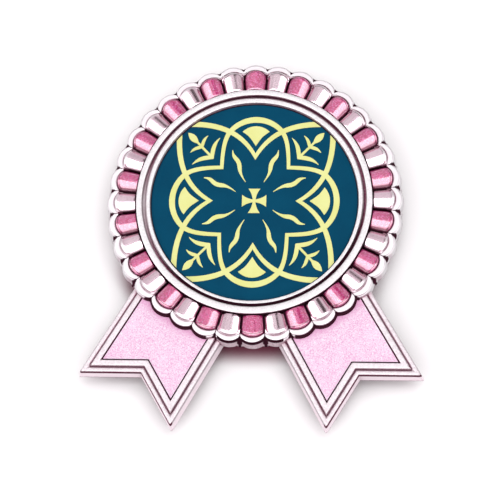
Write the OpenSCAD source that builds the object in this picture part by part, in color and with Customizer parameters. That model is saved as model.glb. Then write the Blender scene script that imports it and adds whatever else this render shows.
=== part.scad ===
// Award rosette brooch with two swallowtail ribbon tails, lying on its pin bar, face up.
// +Z is up, +Y is towards the top of the rosette. The origin is below the middle of the whole
// brooch, at the level that it rests on. Heights are counted from the casting's flat back.

/* [Rosette] */
// Radius of the scalloped flange at its top face, to the peak of a lobe
flange_r = 17.8; // [17.6:0.1:18]
// Height of the flange's top face
flange_h = 2.8; // [2.6:0.1:3]
// Radius of each lobe of the flange at its top face
lobe_r = 2; // [1.9:0.05:2.2]
// How far the rosette's side wall flares out from the top face down to its foot
wall_flare = 0.25; // [0.1:0.05:0.4]
// Height of the side wall's foot; below it only the round base reaches the back
foot_h = 1.2; // [1:0.1:1.4]
// Radius of the round base under the rosette
base_r = 16.2; // [15:0.1:16.5]
// Turn of the pleats against the tails, anticlockwise, in degrees
pleat_turn = 1; // [0:0.5:2]

/* [Pleats] */
// Radius at which the crest of a pleat ends
pleat_end_r = 16.95; // [16.8:0.05:17]
// Radius of the rounded end of a pleat, seen from above
pleat_round_r = 2.1; // [2:0.05:2.2]
// Half the angle that a pleat covers, in degrees
pleat_half_angle = 4.7; // [4.5:0.05:4.75]
// Height of a pleat's edges
pleat_edge_h = 2.5; // [2.45:0.05:2.6]
// Rise of the crest over the edges, at the outer end
pleat_rise = 0.75; // [0.6:0.05:0.85]
// Height of the floor between the pleats
pleat_floor_h = 2; // [1.9:0.05:2.3]
// Width of the gap between a pleat's end and the flange
end_gap = 0.15; // [0.06:0.01:0.18]

/* [Setting] */
// Outer radius of the outer ring
ring_r = 14.25; // [14.2:0.05:14.3]
// Width of the outer ring
ring_w = 0.7; // [0.6:0.05:0.75]
// Height of the outer ring's flat crown
ring_h = 3.35; // [3.25:0.05:3.5]
// Chamfer of the outer ring's upper edges
ring_chamfer = 0.12; // [0.08:0.02:0.2]
// Outer radius of the inner ring
inner_ring_r = 13.3; // [13.2:0.05:13.35]
// Height of the inner ring's flat crown
inner_ring_h = 3.1; // [3:0.05:3.2]
// Width of the inner ring's steep lip, from the insert's rim up to the crown
lip_w = 0.12; // [0.08:0.02:0.2]
// Width of the inner ring's sloping shoulder, outside its crown
shoulder_w = 0.24; // [0.1:0.02:0.3]
// How far the shoulder slopes down from the crown
shoulder_drop = 0.17; // [0.1:0.01:0.25]
// Height of the groove between the two rings
groove_h = 2.6; // [2.5:0.05:2.7]

/* [Insert] */
// Radius of the round insert
insert_r = 12.5; // [12.4:0.05:12.5]
// Thickness of the insert
insert_t = 1; // [0.8:0.1:1.1]
// Height of the insert's face
insert_h = 2.6; // [2.5:0.05:2.7]
// Thickness of the printed ornament
print_t = 0.05; // [0.04:0.01:0.06]
// Height of the ornament as a share of its width
print_stretch = 1.055; // [1:0.005:1.06]

/* [Tails] */
// Angle of each tail from straight down, in degrees
tail_angle = 29.6; // [29:0.1:30]
// Distance of the tail's middle line from the middle of the rosette
tail_shift = 0.7; // [0.6:0.1:0.8]
// Half width of a tail at its tips
tail_half_w = 6.35; // [6.2:0.05:6.5]
// Half width of a tail halfway under the rosette
tail_root_half_w = 6.1; // [6:0.05:6.2]
// Distance from the middle of the rosette to the line between the tips, along the tail
tail_len = 28.3; // [28:0.1:28.6]
// Depth of the swallowtail notch
notch_depth = 3.6; // [3.4:0.1:3.8]
// Height of the tail's outer rim
tail_rim_h = 1.85; // [1.7:0.05:1.95]
// Height of the raised inner border
tail_band_h = 2.1; // [2:0.05:2.2]
// Width of the outer rim
rim_w = 0.62; // [0.5:0.02:0.7]
// Width of the rim and the inner border together
border_w = 1.5; // [1.4:0.05:1.6]
// Height of the enamel in the tails
tail_enamel_h = 1.95; // [1.9:0.01:2]
// Thickness of the enamel in the tails
tail_enamel_t = 0.6; // [0.4:0.1:0.7]
// How far the tails' side wall flares out down to the back
tail_flare = 0.25; // [0.1:0.05:0.3]

/* [Pin bar] */
// Height of the pin bar behind the casting
pin_h = 2.6; // [2.4:0.1:3]
// Length of the pin bar
bar_l = 27; // [25:0.5:30]
// Width of the pin bar
bar_w = 5.6; // [5:0.1:6]
// Thickness of the pin bar's plate
bar_t = 0.7; // [0.6:0.1:0.8]
// Diameter of the pin
pin_d = 0.8; // [0.7:0.05:0.9]
// Length of the hinge block and of the catch, along the bar
block_l = 3; // [2.5:0.5:3.5]
// Middle of the bar, below the middle of the rosette
bar_drop = 2.2; // [1.8:0.1:2.6]

/* [Hidden] */
PLEATS = 36;
PLEAT_NODES = [for (i = [1 : PLEATS / 2]) str("pleat_enamel_", i < 10 ? "0" : "", i)];

$fn = 96;
gap = 0.03; // between a piece and its seat
over = 1; // how far a cutting shape runs past what it cuts
pitch = 360 / PLEATS;
notch_past = 0.03; // how far a notch's cut runs past a lobe's peak, as a share of the pitch

// The brooch is centred over the origin: a lobe is its top, and the tails' inner tips its bottom.
tail_dir = [sin(tail_angle), -cos(tail_angle)];
tail_side = [cos(tail_angle), sin(tail_angle)];
root_len = 9; // where a tail starts, under the rosette

// Outline of one tail at its rim, in its own plan: x across it, y along it towards the tips.
tail_outline = [
    [tail_shift - tail_root_half_w, root_len],
    [tail_shift - tail_half_w, tail_len],
    [tail_shift, tail_len - notch_depth],
    [tail_shift + tail_half_w, tail_len],
    [tail_shift + tail_root_half_w, root_len]];

lobe_at = flange_r - lobe_r;
foot_tip = inset(tail_outline, -tail_flare, root_len)[1];
top_y = lobe_at * cos(pleat_turn) + lobe_r + wall_flare;
bottom_y = foot_tip[1] * tail_dir[1] + foot_tip[0] * tail_side[1];
rosette_y = -(top_y + bottom_y) / 2;

// Direction of a line, the way inwards from an edge, and the point where two lines cross.
function unit(d) = d / norm(d);
function inward(u) = [u[1], -u[0]];
function cross2(u, v) = u[0] * v[1] - u[1] * v[0];
function crossing(p, u, q, v) = p + u * cross2(q - p, v) / cross2(u, v);

// A tail's outline moved inwards by w along its sides and its notch, and started at root.
function edge(o, i) = unit(o[i + 1] - o[i]);
function moved(o, i, w) = o[i] + inward(edge(o, i)) * w;
function inset(o, w, root) = [
    crossing(moved(o, 0, w), edge(o, 0), [0, root], [1, 0]),
    for (i = [1 : 3]) crossing(moved(o, i - 1, w), edge(o, i - 1), moved(o, i, w), edge(o, i)),
    crossing(moved(o, 3, w), edge(o, 3), [0, root], [1, 0])];

// Curves for the printed ornament.
function bezier(p, n) = [for (i = [0 : n]) let (t = i / n, s = 1 - t)
    s * s * s * p[0] + 3 * s * s * t * p[1] + 3 * s * t * t * p[2] + t * t * t * p[3]];
function arc(c, r, a0, a1, n) = [for (i = [0 : n]) let (a = a0 + (a1 - a0) * i / n)
    c + r * [cos(a), sin(a)]];
function reverse(p) = [for (i = [len(p) - 1 : -1 : 0]) p[i]];
function mirrored(p) = [for (q = p) [-q[0], q[1]]];
function swapped(p) = [for (q = p) [q[1], q[0]]];
function turned(p, k) = [for (q = p) let (c = cos(90 * k), s = sin(90 * k))
    [c * q[0] - s * q[1], s * q[0] + c * q[1]]];

least_mitre = 0.45; // keeps a sharp corner of a line from running far out

// A line drawn along the points p: its width runs evenly through the list w.
function before(p, i) = i == 0 ? unit(p[1] - p[0]) : unit(p[i] - p[i - 1]);
function after(p, i) = i == len(p) - 1 ? before(p, i) : unit(p[i + 1] - p[i]);
function along(p, i) = unit(before(p, i) + after(p, i));
function mix(w, t) = let (f = t * (len(w) - 1), i = min(floor(f), len(w) - 2))
    w[i] + (w[i + 1] - w[i]) * (f - i);
function side_step(p, w, i) = let (u = along(p, i), mitre = max(least_mitre, u * after(p, i)))
    [-u[1], u[0]] * mix(w, i / (len(p) - 1)) / 2 / mitre;
function stroke(p, w) = let (n = len(p) - 1) concat(
    [for (i = [0 : n]) p[i] + side_step(p, w, i)],
    [for (i = [n : -1 : 0]) p[i] - side_step(p, w, i)]);

module at_rosette() {
    translate([0, rosette_y, pin_h])
        children();
}

module at_pleats() {
    at_rosette()
        rotate([0, 0, pleat_turn + 90])
            children();
}

// side is -1 for the left tail and 1 for the right one.
module at_tail(side) {
    at_rosette()
        mirror([side < 0 ? 1 : 0, 0, 0])
            rotate([0, 0, tail_angle])
                mirror([0, 1, 0])
                    children();
}

// Point at radius r on the middle line of lobe i, counted anticlockwise.
function on_lobe(r, i) = r * [cos(i * pitch), sin(i * pitch)];

// Lobe i of the flange, its drafted side run on past both faces.
module lobe(i, grow) {
    wall_h = flange_h - foot_h;
    lean = wall_flare / wall_h;
    wide_r = lobe_r + wall_flare + grow + over * lean;
    narrow_r = lobe_r + grow - over * lean;
    middle = on_lobe(lobe_at, i % PLEATS);
    translate([middle[0], middle[1], foot_h - over])
        cylinder(h = wall_h + 2 * over, r1 = wide_r, r2 = narrow_r);
}

// What is cut away between lobes i and i + 1, a little past the peak of each.
module lobe_notch(i, grow) {
    far = flange_r + wall_flare + grow + 2 * over;
    from = i - notch_past;
    to = i + 1 + notch_past;
    difference() {
        translate([0, 0, foot_h - over])
            linear_extrude(height = flange_h - foot_h + 2 * over)
                polygon([on_lobe(lobe_at, from), on_lobe(far, from), on_lobe(far, to),
                    on_lobe(lobe_at, to)]);
        lobe(i, grow);
        lobe(i + 1, grow);
    }
}

// The rosette's drafted body; grow makes it larger all round its side wall.
module scalloped_body(grow) {
    difference() {
        translate([0, 0, foot_h])
            cylinder(h = flange_h - foot_h, r = flange_r + wall_flare + grow + over / 2);
        for (i = [0 : PLEATS - 1])
            lobe_notch(i, grow);
    }
}

// The sunk ring that the pleats stand in, with a round bay for each pleat's end.
module pleat_channel() {
    bay_at = pleat_end_r - pleat_round_r;
    difference() {
        for (i = [0 : PLEATS - 1])
            rotate([0, 0, i * pitch])
                translate([bay_at, 0, pleat_floor_h])
                    cylinder(h = flange_h, r = pleat_round_r + end_gap);
        cylinder(h = 3 * flange_h, r = ring_r);
    }
}

// One pleat along +X: a cone lying on its side, trimmed to a wedge with a round outer end.
module pleat(start_r, bottom_h) {
    half_w = pleat_end_r * sin(pleat_half_angle);
    section_r = (half_w * half_w + pleat_rise * pleat_rise) / (2 * pleat_rise);
    dip = atan((section_r - pleat_rise) / pleat_end_r);
    cone = dip + atan(pleat_rise / pleat_end_r);
    near = start_r - over;
    far = pleat_end_r + over;
    intersection() {
        translate([0, 0, pleat_edge_h])
            rotate([0, 90 + dip, 0])
                translate([0, 0, near])
                    cylinder(h = far - near, r1 = near * tan(cone), r2 = far * tan(cone));
        translate([0, 0, bottom_h])
            linear_extrude(height = flange_h)
                polygon([for (p = [[start_r, -1], [far, -1], [far, 1], [start_r, 1]])
                    p[0] * [cos(pleat_half_angle), p[1] * sin(pleat_half_angle)]]);
        translate([pleat_end_r - pleat_round_r, 0, 0])
            cylinder(h = 2 * flange_h, r = pleat_round_r);
    }
}

// Both rings round the insert: each has a flat crown, and the inner one slopes down at both sides.
module setting() {
    ring_in = ring_r - ring_w;
    crown_in = insert_r + lip_w;
    crown_out = inner_ring_r - shoulder_w;
    rotate_extrude()
        polygon([
            [ring_in, 0], [ring_in, ring_h - ring_chamfer], [ring_in + ring_chamfer, ring_h],
            [ring_r - ring_chamfer, ring_h], [ring_r, ring_h - ring_chamfer], [ring_r, 0]]);
    rotate_extrude()
        polygon([
            [insert_r + gap, 0], [insert_r + gap, insert_h + gap], [crown_in, inner_ring_h],
            [crown_out, inner_ring_h], [inner_ring_r, inner_ring_h - shoulder_drop],
            [inner_ring_r, 0]]);
}

// What lies outside the line from p to q; this face leans so that the foot flares out.
module outside(p, q) {
    reach = 2 * tail_len;
    translate([p[0], p[1], tail_rim_h])
        rotate([0, 0, atan2(q[1] - p[1], q[0] - p[0])])
            rotate([atan(tail_flare / tail_rim_h), 0, 0])
                translate([-reach, 0, -reach])
                    cube([2 * reach, reach, 2 * reach]);
}

// Metal of one tail: drafted sides, an outer rim, and a raised border round the enamel's seat.
module tail_metal() {
    o = tail_outline;
    width = 2 * (tail_half_w + tail_flare + over);
    difference() {
        union() {
            difference() {
                translate([tail_shift - width / 2, root_len, 0])
                    cube([width, tail_len + over - root_len, tail_rim_h]);
                outside(o[0], o[1]);
                outside(o[3], o[4]);
                intersection() {
                    outside(o[1], o[2]);
                    outside(o[2], o[3]);
                }
            }
            linear_extrude(height = tail_band_h)
                polygon(inset(o, rim_w, root_len));
        }
        tail_field(border_w, root_len + border_w, tail_enamel_h - tail_enamel_t - gap, flange_h);
    }
}

// The field inside a tail's border, inset by w from the rim's edge.
module tail_field(w, root, bottom_h, top_h) {
    translate([0, 0, bottom_h])
        linear_extrude(height = top_h - bottom_h)
            polygon(inset(tail_outline, w, root));
}

module casting() {
    cup_h = insert_h - insert_t - gap;
    color("silver") {
        difference() {
            union() {
                at_pleats() scalloped_body(0);
                at_rosette() cylinder(h = foot_h + over / 2, r = base_r);
                for (side = [-1, 1])
                    at_tail(side) tail_metal();
            }
            at_pleats() pleat_channel();
            at_rosette()
                translate([0, 0, cup_h])
                    cylinder(h = flange_h, r = insert_r + gap);
            at_rosette()
                translate([0, 0, groove_h])
                    cylinder(h = flange_h, r = ring_r - ring_w / 2);
        }
        at_rosette()
            difference() {
                setting();
                translate([0, 0, -over])
                    cylinder(h = cup_h + over, r = ring_r + over);
            }
        for (i = [1 : 2 : PLEATS - 1])
            at_pleats()
                rotate([0, 0, i * pitch])
                    pleat(ring_r - ring_w / 2, pleat_floor_h - over / 2);
    }
}

// Enamelled pleat number i, counted anticlockwise from the top, seen from the front.
module pleat_enamel(i) {
    color("hotpink")
        at_pleats()
            rotate([0, 0, 2 * (i - 1) * pitch])
                pleat(ring_r + 3 * gap, pleat_floor_h + gap);
}

module tail_enamel(side) {
    color("pink")
        difference() {
            at_tail(side)
                tail_field(border_w + gap, root_len + border_w + gap,
                    tail_enamel_h - tail_enamel_t, tail_enamel_h);
            at_pleats() scalloped_body(gap);
        }
}

module insert_disc() {
    color("darkslategray")
        at_rosette()
            translate([0, 0, insert_h - insert_t])
                cylinder(h = insert_t, r = insert_r);
}

// Printed shapes, drawn upright in the upper half and turned into the other quarters.
lobe_corner = 4.07; // where two lobes meet, from the middle lines of the disc
lobe_foot = bezier([[lobe_corner, lobe_corner - 0.2], [4.04, 5.55], [4, 7.44], [3.18, 8.53]], 10);
lobe_arc = arc([0, 5.753], 4.216, 90 - 48.8, 90 + 48.8, 18);
lobe_line = concat(lobe_foot, [for (i = [1 : 17]) lobe_arc[i]], reverse(mirrored(lobe_foot)));
lobe_widths = [0.42, 0.5, 0.62, 0.72, 0.62, 0.5, 0.42];
loop_half = bezier([[0, 5.4], [1.4, 7.8], [3.8, 9.78], [9.33, 9.36]], 16);
loop_line = concat(reverse(mirrored(loop_half)), [for (i = [1 : 16]) loop_half[i]]);
loop_widths = [0.68, 0.62, 0.54, 0.42, 0.54, 0.62, 0.68];
fan_corner = [1.67, 8.49];
fan_side = bezier([fan_corner, [0.76, 7.87], [0.76, 7.87], [0, 6.71]], 8);
fan_shape = concat(arc([0, 6.8], 2.37, 90 + 44.6, 90 - 44.6, 10),
    fan_side, [for (i = [7 : -1 : 1]) mirrored(fan_side)[i]]);
flame_line = concat(
    bezier([[2.8, 6.2], [2.75, 5.1], [2.2, 5.3], [1.95, 4.45]], 8),
    [for (i = [1 : 8]) bezier([[1.95, 4.45], [1.8, 3.9], [2.05, 3.6], [1.11, 2.28]], 8)[i]]);
flame_widths = [0.08, 0.42, 0.5, 0.52, 0.5, 0.3, 0.06];
leaf_line = bezier([[5.3, 5.15], [5.3, 6.35], [5.05, 7.05], [4.42, 7.7]], 9);
leaf_widths = [0.4, 0.52, 0.48, 0.3, 0.06];
twig_line = bezier([[6.6, 6.5], [6.5, 7.1], [6.4, 7.55], [5.9, 7.98]], 7);
twig_widths = [0.3, 0.42, 0.34, 0.06];
stem_line = [[5.35, 5.35], [7.5, 7.5]];
bud_line = [for (i = [0 : 10]) [7.1, 7.1] + [1.24, 1.24] * i / 10];
bud_widths = [0.24, 0.58, 0.8, 0.78, 0.5, 0.04];
arm_side = bezier([[0.17, 0.17], [0.26, 0.7], [0.4, 1.05], [0.72, 1.47]], 6);
cross_arm = concat([for (i = [1 : 6]) arm_side[i]], [for (i = [6 : -1 : 1]) mirrored(arm_side)[i]],
    [mirrored(arm_side)[0]]);

module printed(p) {
    polygon([for (q = p) [q[0], q[1] * print_stretch]]);
}

module ornament_outline() {
    for (k = [0 : 3]) {
        printed(turned(stroke(lobe_line, lobe_widths), k));
        printed(turned(stroke(loop_line, loop_widths), k));
        printed(turned(fan_shape, k));
        printed(turned(stroke(flame_line, flame_widths), k));
        printed(turned(mirrored(stroke(flame_line, flame_widths)), k));
        printed(turned(stroke(leaf_line, leaf_widths), k));
        printed(turned(swapped(stroke(leaf_line, leaf_widths)), k));
        printed(turned(stroke(twig_line, twig_widths), k));
        printed(turned(swapped(stroke(twig_line, twig_widths)), k));
        printed(turned(stroke(stem_line, [0.3, 0.26]), k));
        printed(turned(stroke(bud_line, bud_widths), k));
    }
    printed([for (k = [0 : 3]) each turned(cross_arm, k)]);
}

module ornament() {
    color("khaki")
        at_rosette()
            translate([0, 0, insert_h + gap / 3])
                intersection() {
                    linear_extrude(height = print_t)
                        ornament_outline();
                    cylinder(h = flange_h, r = insert_r - 2 * gap, center = true);
                }
}

// A plate with a hinge block, a catch and a closed pin, all one plain piece.
module pin_back() {
    plate_h = pin_h - gap - bar_t;
    end_x = (bar_l - bar_w) / 2;
    pin_axis_h = (plate_h - pin_d / 2) / 2;
    color("silver")
        translate([0, rosette_y - bar_drop, 0]) {
            translate([0, 0, plate_h]) {
                translate([-end_x, -bar_w / 2, 0])
                    cube([2 * end_x, bar_w, bar_t]);
                for (x = [-end_x, end_x])
                    translate([x, 0, 0])
                        cylinder(h = bar_t, d = bar_w);
            }
            for (x = [-end_x, end_x])
                translate([x - block_l / 2, -bar_w / 2, 0])
                    cube([block_l, bar_w, pin_h - gap - bar_t / 2]);
            translate([-end_x, 0, pin_axis_h])
                rotate([0, 90, 0])
                    cylinder(h = 2 * end_x, d = pin_d);
        }
}

casting();
for (i = [1 : PLEATS / 2])
    pleat_enamel(i);
tail_enamel(-1);  // tail_enamel_left
tail_enamel(1);  // tail_enamel_right
insert_disc();
ornament();
pin_back();
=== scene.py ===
"""Looks of the metal brooch, an award rosette with two swallowtail ribbon tails, round its CAD part.

Lengths in the mesh code are millimetres. Heights are counted from the casting's flat back, and the pin
bar's from the floor.
"""

import math

import bpy
import numpy as np
from mathutils import Matrix, Vector, kdtree


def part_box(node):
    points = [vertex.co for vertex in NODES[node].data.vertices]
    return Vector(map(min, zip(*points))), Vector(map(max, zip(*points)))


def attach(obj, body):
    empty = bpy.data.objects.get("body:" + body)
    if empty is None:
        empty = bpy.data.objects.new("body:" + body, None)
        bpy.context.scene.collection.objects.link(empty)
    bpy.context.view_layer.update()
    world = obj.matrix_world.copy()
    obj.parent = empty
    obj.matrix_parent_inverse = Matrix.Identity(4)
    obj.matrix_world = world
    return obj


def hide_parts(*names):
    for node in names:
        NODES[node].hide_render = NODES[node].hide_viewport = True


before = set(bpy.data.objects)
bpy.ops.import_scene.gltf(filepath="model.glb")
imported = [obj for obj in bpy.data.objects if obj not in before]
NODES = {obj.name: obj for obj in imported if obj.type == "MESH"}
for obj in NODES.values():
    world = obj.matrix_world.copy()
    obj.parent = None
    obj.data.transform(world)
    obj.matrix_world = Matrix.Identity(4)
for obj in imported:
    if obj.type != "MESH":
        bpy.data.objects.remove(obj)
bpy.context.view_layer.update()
M_PER_MM = 0.001
NODE_BOX = {n: [np.array(c) / M_PER_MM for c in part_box(n)] for n in NODES}

# Sizes read from the CAD part.
INSERT_LOW, INSERT_HIGH = NODE_BOX["insert_disc"]
CASTING_LOW, CASTING_HIGH = NODE_BOX["casting"]
PIN_LOW, PIN_HIGH = NODE_BOX["pin_back"]
BACK_Z = CASTING_LOW[2]
CENTRE = np.array([*(INSERT_LOW + INSERT_HIGH)[:2] / 2, BACK_Z])
INSERT_R = (INSERT_HIGH - INSERT_LOW)[0] / 2
INSERT_H = INSERT_HIGH[2] - BACK_Z
INSERT_BOTTOM = INSERT_LOW[2] - BACK_Z
RING_H = CASTING_HIGH[2] - BACK_Z
TAIL_ENAMEL_H = NODE_BOX["tail_enamel_left"][1][2] - BACK_Z
TAIL_ENAMEL_BOTTOM = NODE_BOX["tail_enamel_left"][0][2] - BACK_Z

# Driving sizes of the part's source.
GAP = 0.03
PLEATS = 36
PITCH = 360 / PLEATS
PLEAT_TURN = 1
FLANGE_R, FLANGE_H, LOBE_R, WALL_FLARE = 17.8, 2.8, 2, 0.25
FOOT_H, BASE_R = 1.2, 16.2
LOBE_AT = FLANGE_R - LOBE_R
PLEAT_END_R, PLEAT_ROUND_R, PLEAT_HALF_ANGLE = 16.95, 2.1, 4.7
PLEAT_EDGE_H, PLEAT_RISE, PLEAT_FLOOR_H, END_GAP = 2.5, 0.75, 2, 0.11
BAY_AT = PLEAT_END_R - PLEAT_ROUND_R
RING_R, RING_W = 14.25, 0.7
INNER_RING_R, INNER_RING_H, GROOVE_H = 13.3, 3.1, 2.6
LIP_W, SHOULDER_W, SHOULDER_DROP = 0.12, 0.24, 0.17
TAIL_ANGLE, TAIL_SHIFT, TAIL_HALF_W, TAIL_ROOT_HALF_W = 29.6, 0.7, 6.35, 6.1
TAIL_LEN, NOTCH_DEPTH, TAIL_ROOT = 28.3, 3.6, 9
TAIL_RIM_H, TAIL_BAND_H, RIM_W, BORDER_W = 1.85, 2.1, 0.62, 1.5
PIN_PLATE_T, PIN_BLOCK_L, PIN_D = 0.7, 3, 0.8


def deg(x):
    return np.radians(x)


def mesh_object(name, points, faces, painted_shade=None):
    """A smooth mesh object from points in millimetres, with how dark each point is painted as painted shade.
    """
    mesh = bpy.data.meshes.new(name)
    mesh.from_pydata((np.asarray(points) * M_PER_MM).tolist(), [], faces)
    mesh.validate()
    mesh.update()
    made = bpy.data.objects.new(name, mesh)
    if painted_shade is not None:
        put_painted_shade(made, painted_shade)
    bpy.context.scene.collection.objects.link(made)
    return made


def put_painted_shade(made, values):
    layer = made.data.attributes.new("painted_shade", "FLOAT", "POINT")
    layer.data.foreach_set("value", np.asarray(values, np.float32))


def signed_volume(points, faces):
    total = 0.0
    for size in {len(f) for f in faces}:
        f = np.array([g for g in faces if len(g) == size])
        for k in range(1, size - 1):
            a, b, c = points[f[:, 0]], points[f[:, k]], points[f[:, k + 1]]
            total += np.einsum("ij,ij->i", a, np.cross(b, c)).sum() / 6
    return total


def turned_out(points, faces):
    """The faces of a closed shell, all turned outwards."""
    return [f[::-1] for f in faces] if signed_volume(points, faces) < 0 else faces


def shell(loops, cap_with_pole=False):
    """Closed shell through loops of equally many points, and its faces."""
    n = len(loops[0])
    points = np.vstack(loops)
    faces = []
    for k in range(len(loops) - 1):
        a, b = k * n, (k + 1) * n
        for j in range(n):
            i = (j + 1) % n
            faces.append((a + j, a + i, b + i, b + j))
    last = (len(loops) - 1) * n
    if cap_with_pole:
        points = np.vstack([points, loops[0].mean(0), loops[-1].mean(0)])
        start, end = len(points) - 2, len(points) - 1
        faces += [(start, (j + 1) % n, j) for j in range(n)]
        faces += [(end, last + j, last + (j + 1) % n) for j in range(n)]
    else:
        faces += [tuple(range(n - 1, -1, -1)), tuple(range(last, last + n))]
    return points, turned_out(points, faces)


def combine(target, other, operation):
    """Unites target with other, or cuts it with other; other is deleted."""
    modifier = target.modifiers.new("combine", "BOOLEAN")
    modifier.operation = operation
    modifier.solver = "MANIFOLD"
    modifier.object = other
    graph = bpy.context.evaluated_depsgraph_get()
    made = bpy.data.meshes.new_from_object(target.evaluated_get(graph))
    target.modifiers.clear()
    old = target.data
    target.data = made
    bpy.data.meshes.remove(old)
    bpy.data.objects.remove(other)


def points_of(made):
    flat = np.zeros(len(made.data.vertices) * 3)
    made.data.vertices.foreach_get("co", flat)
    return flat.reshape(-1, 3) / M_PER_MM


# Two points of a mesh and of its source are the same when they are closer than this.
SAME_POINT = 0.0004


def carry_painted_shade(made, sources, of_new):
    """Gives a combined mesh's points the painted shade of the points they come from, and of_new's to new
    ones.
    """
    points = np.vstack([p for p, _ in sources])
    values = np.concatenate([v for _, v in sources])
    tree = kdtree.KDTree(len(points))
    for i, p in enumerate(points):
        tree.insert(p, i)
    tree.balance()
    out = []
    for p in points_of(made):
        _, i, distance = tree.find(p)
        out.append(values[i] if distance < SAME_POINT else of_new(p))
    old = made.data.attributes.get("painted_shade")
    if old is not None:
        made.data.attributes.remove(old)
    put_painted_shade(made, out)


def smooth(made, crease_deg):
    made.data.polygons.foreach_set("use_smooth", np.ones(len(made.data.polygons), bool))
    made.data.set_sharp_from_angle(angle=math.radians(crease_deg))


def round_edge(radius, angles):
    """Distances of the points of a rounded edge from its side and from its top, at angles in degrees."""
    return [(radius * (1 - math.cos(deg(t))), radius * (1 - math.sin(deg(t)))) for t in angles]


# Columns of the rosette's points: those of a half pleat, in degrees from its middle, repeat all round.
HALF_COLUMNS = [0, 0.8, 1.6, 2.4, 3.1, 3.75, 4.1, 4.4, 4.6, 4.7, 4.77, 4.83]
ONE_PLEAT = [-c for c in HALF_COLUMNS[:0:-1]] + HALF_COLUMNS + [PITCH / 2]
PHI = np.tile(ONE_PLEAT, PLEATS)
PLEAT_OF = np.repeat(np.arange(PLEATS), len(ONE_PLEAT))
AZIMUTH = deg(PLEAT_TURN + 90 + PLEAT_OF * PITCH + PHI)
SILVER = PLEAT_OF % 2 == 1
ONES = np.ones(len(PHI))
ROUND_AT = [0, 45, 90, 135, 155, 180, 215, 240, 270, 300, 330, 360]


def across(angles, values):
    """Values given at angles from the middle of a pleat, in degrees, for every column."""
    return np.interp(np.abs(PHI), angles, values)


def round_about(values):
    """Values given at ROUND_AT, in degrees anticlockwise from the right, for every column."""
    return np.interp(np.degrees(AZIMUTH) % 360, ROUND_AT, values)


def angle_from(direction, azimuth):
    """Degrees between a direction and an azimuth, both counted anticlockwise from the right."""
    return np.abs((azimuth + (180 - direction)) % 360 - 180)


def darkest(first, *others):
    """The largest of several painted shades in every column."""
    for other in others:
        first = np.maximum(first, other)
    return first


def marked(dark, mark, faintest=0.0):
    """The painted shade dark, or mark where mark is darker; a dark below 0 is kept where there is no mark."""
    return np.where(mark > faintest, np.maximum(dark, mark), dark)


# Where the rosette is painted dark: painted shade in its hollows and along its edges. The painted shade is 1
# on a dark line and 0 on bright metal; below 0 it keeps the painted shade of corners off. It differs where
# the tails' enamel lies below, between the tails and at the top.
DOWN, TOP_RIGHT = -90, 70
ENAMEL_FROM, ENAMEL_TO, TAILS_FROM, LOW_SHADE_TO = 17.3, 46.2, 13, 60
FROM_DOWN = angle_from(DOWN, np.degrees(AZIMUTH))
AT_TOP = np.interp(angle_from(TOP_RIGHT, np.degrees(AZIMUTH)), [40, 55], [1, 0])
OVER_ENAMEL = ((FROM_DOWN > ENAMEL_FROM) & (FROM_DOWN < ENAMEL_TO)) * 1.0
BETWEEN_TAILS = (FROM_DOWN < TAILS_FROM) * 1.0
JUNCTION = across([3.9, 4.7, 5], [0, 0.85, 1])
# Painted shade in the seam between two pleats, fainter at the top; the flange's top also dips there.
SEAM_SHADE = across([4.77, 4.83, 5], [0, 0.6, 1]) * (1 - 0.7 * AT_TOP)
# The painted shade between two lobes is wide at the flange's edge. Far from the tails it fades above the
# wall's foot.
NOTCH_SHADE = across([3.6, 4.35, 5], [0, 1, 1])
NOTCH_SHADE_LOW = JUNCTION * np.where(FROM_DOWN < LOW_SHADE_TO, 1, 0.35)

# A pleat's sides: the share of its height that is left, and the painted shade, darker where a side faces down
# and lies in shade.
PLEAT_SIDE = across([4.4, 4.6, 4.7, 4.77], [1, 0.96, 0.7, 0])
FACES_DOWN = np.clip(-np.sign(PHI) * np.cos(AZIMUTH), 0, 1)
SIDE_DARK = np.maximum(across([4.4, 4.6, 4.7, 4.77], [0, 0.15, 0.7, 1]),
                       across([3.35, 4.1, 4.6], [0, 0.62, 1]) * FACES_DOWN)

# The dip between a silver pleat's end and the flange: its height, and the least height of a pleat's end.
DIP_H = across([3.75, 4.7], [2.71, 2.58])
END_LOW = np.where(SILVER, DIP_H + 0.005, PLEAT_FLOOR_H)
# Painted shade at the pleats' ends; it changes round the circle with the light, and below 0 it keeps the
# painted corner shade off.
END_DARK = round_about([0.25, 0.1, 0, -0.3, -0.5, -0.7, -0.5, -0.3, -0.2, 0, 0.15, 0.25])

# Outer end of a pleat: distance from the end, drop from the crest, painted shade. Its painted shadow line
# shows at the top only.
PLEAT_END = [
    (0.005, 0.8, -0.5), (0.015, 0.5, -0.5), (0.03, 0.32, -0.4), (0.06, 0.18, -0.2), (0.1, 0.1, 0),
    (0.16, 0.06, 0), (0.225, 0.05, 0), (0.25, 0.035, 1), (0.29, 0.02, 1), (0.315, 0.01, 0), (0.38, 0, 0)]
END_LINE_FROM = 0.24
# Inner end of a pleat, the same way, with the distance from the ring.
PLEAT_START = [
    (0.02, 0.5, 1), (0.07, 0.3, 1), (0.1, 0.16, 0.9), (0.13, 0.07, 0.5), (0.17, 0.02, 0.1), (0.22, 0, 0)]

# The setting isn't quite round: how the ring's inner edge and the groove's inner edge run round the circle.
RING_IN = RING_R - RING_W - round_about([0, 0, 0, 0, 0, -0.02, 0.08, 0.2, 0.16, 0.18, 0.1, 0])
GROOVE_R = INNER_RING_R + round_about(
    [0, 0.06, 0.07, 0.12, 0.04, -0.08, -0.08, -0.09, -0.08, -0.08, -0.04, 0])
# Painted shade in the groove and on the inner ring's shoulder; it changes round the circle with the light.
GROOVE_DARK = round_about([0.1, 0.4, 0.6, 0.35, 0, -0.7, 0, 0.5, 0.6, 0.6, 0.5, 0.1])
SHOULDER_DARK = round_about([0.45, 0.1, 0, 0, 0, 0, 0.5, 1, 1, 1, 0.8, 0.45])
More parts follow.
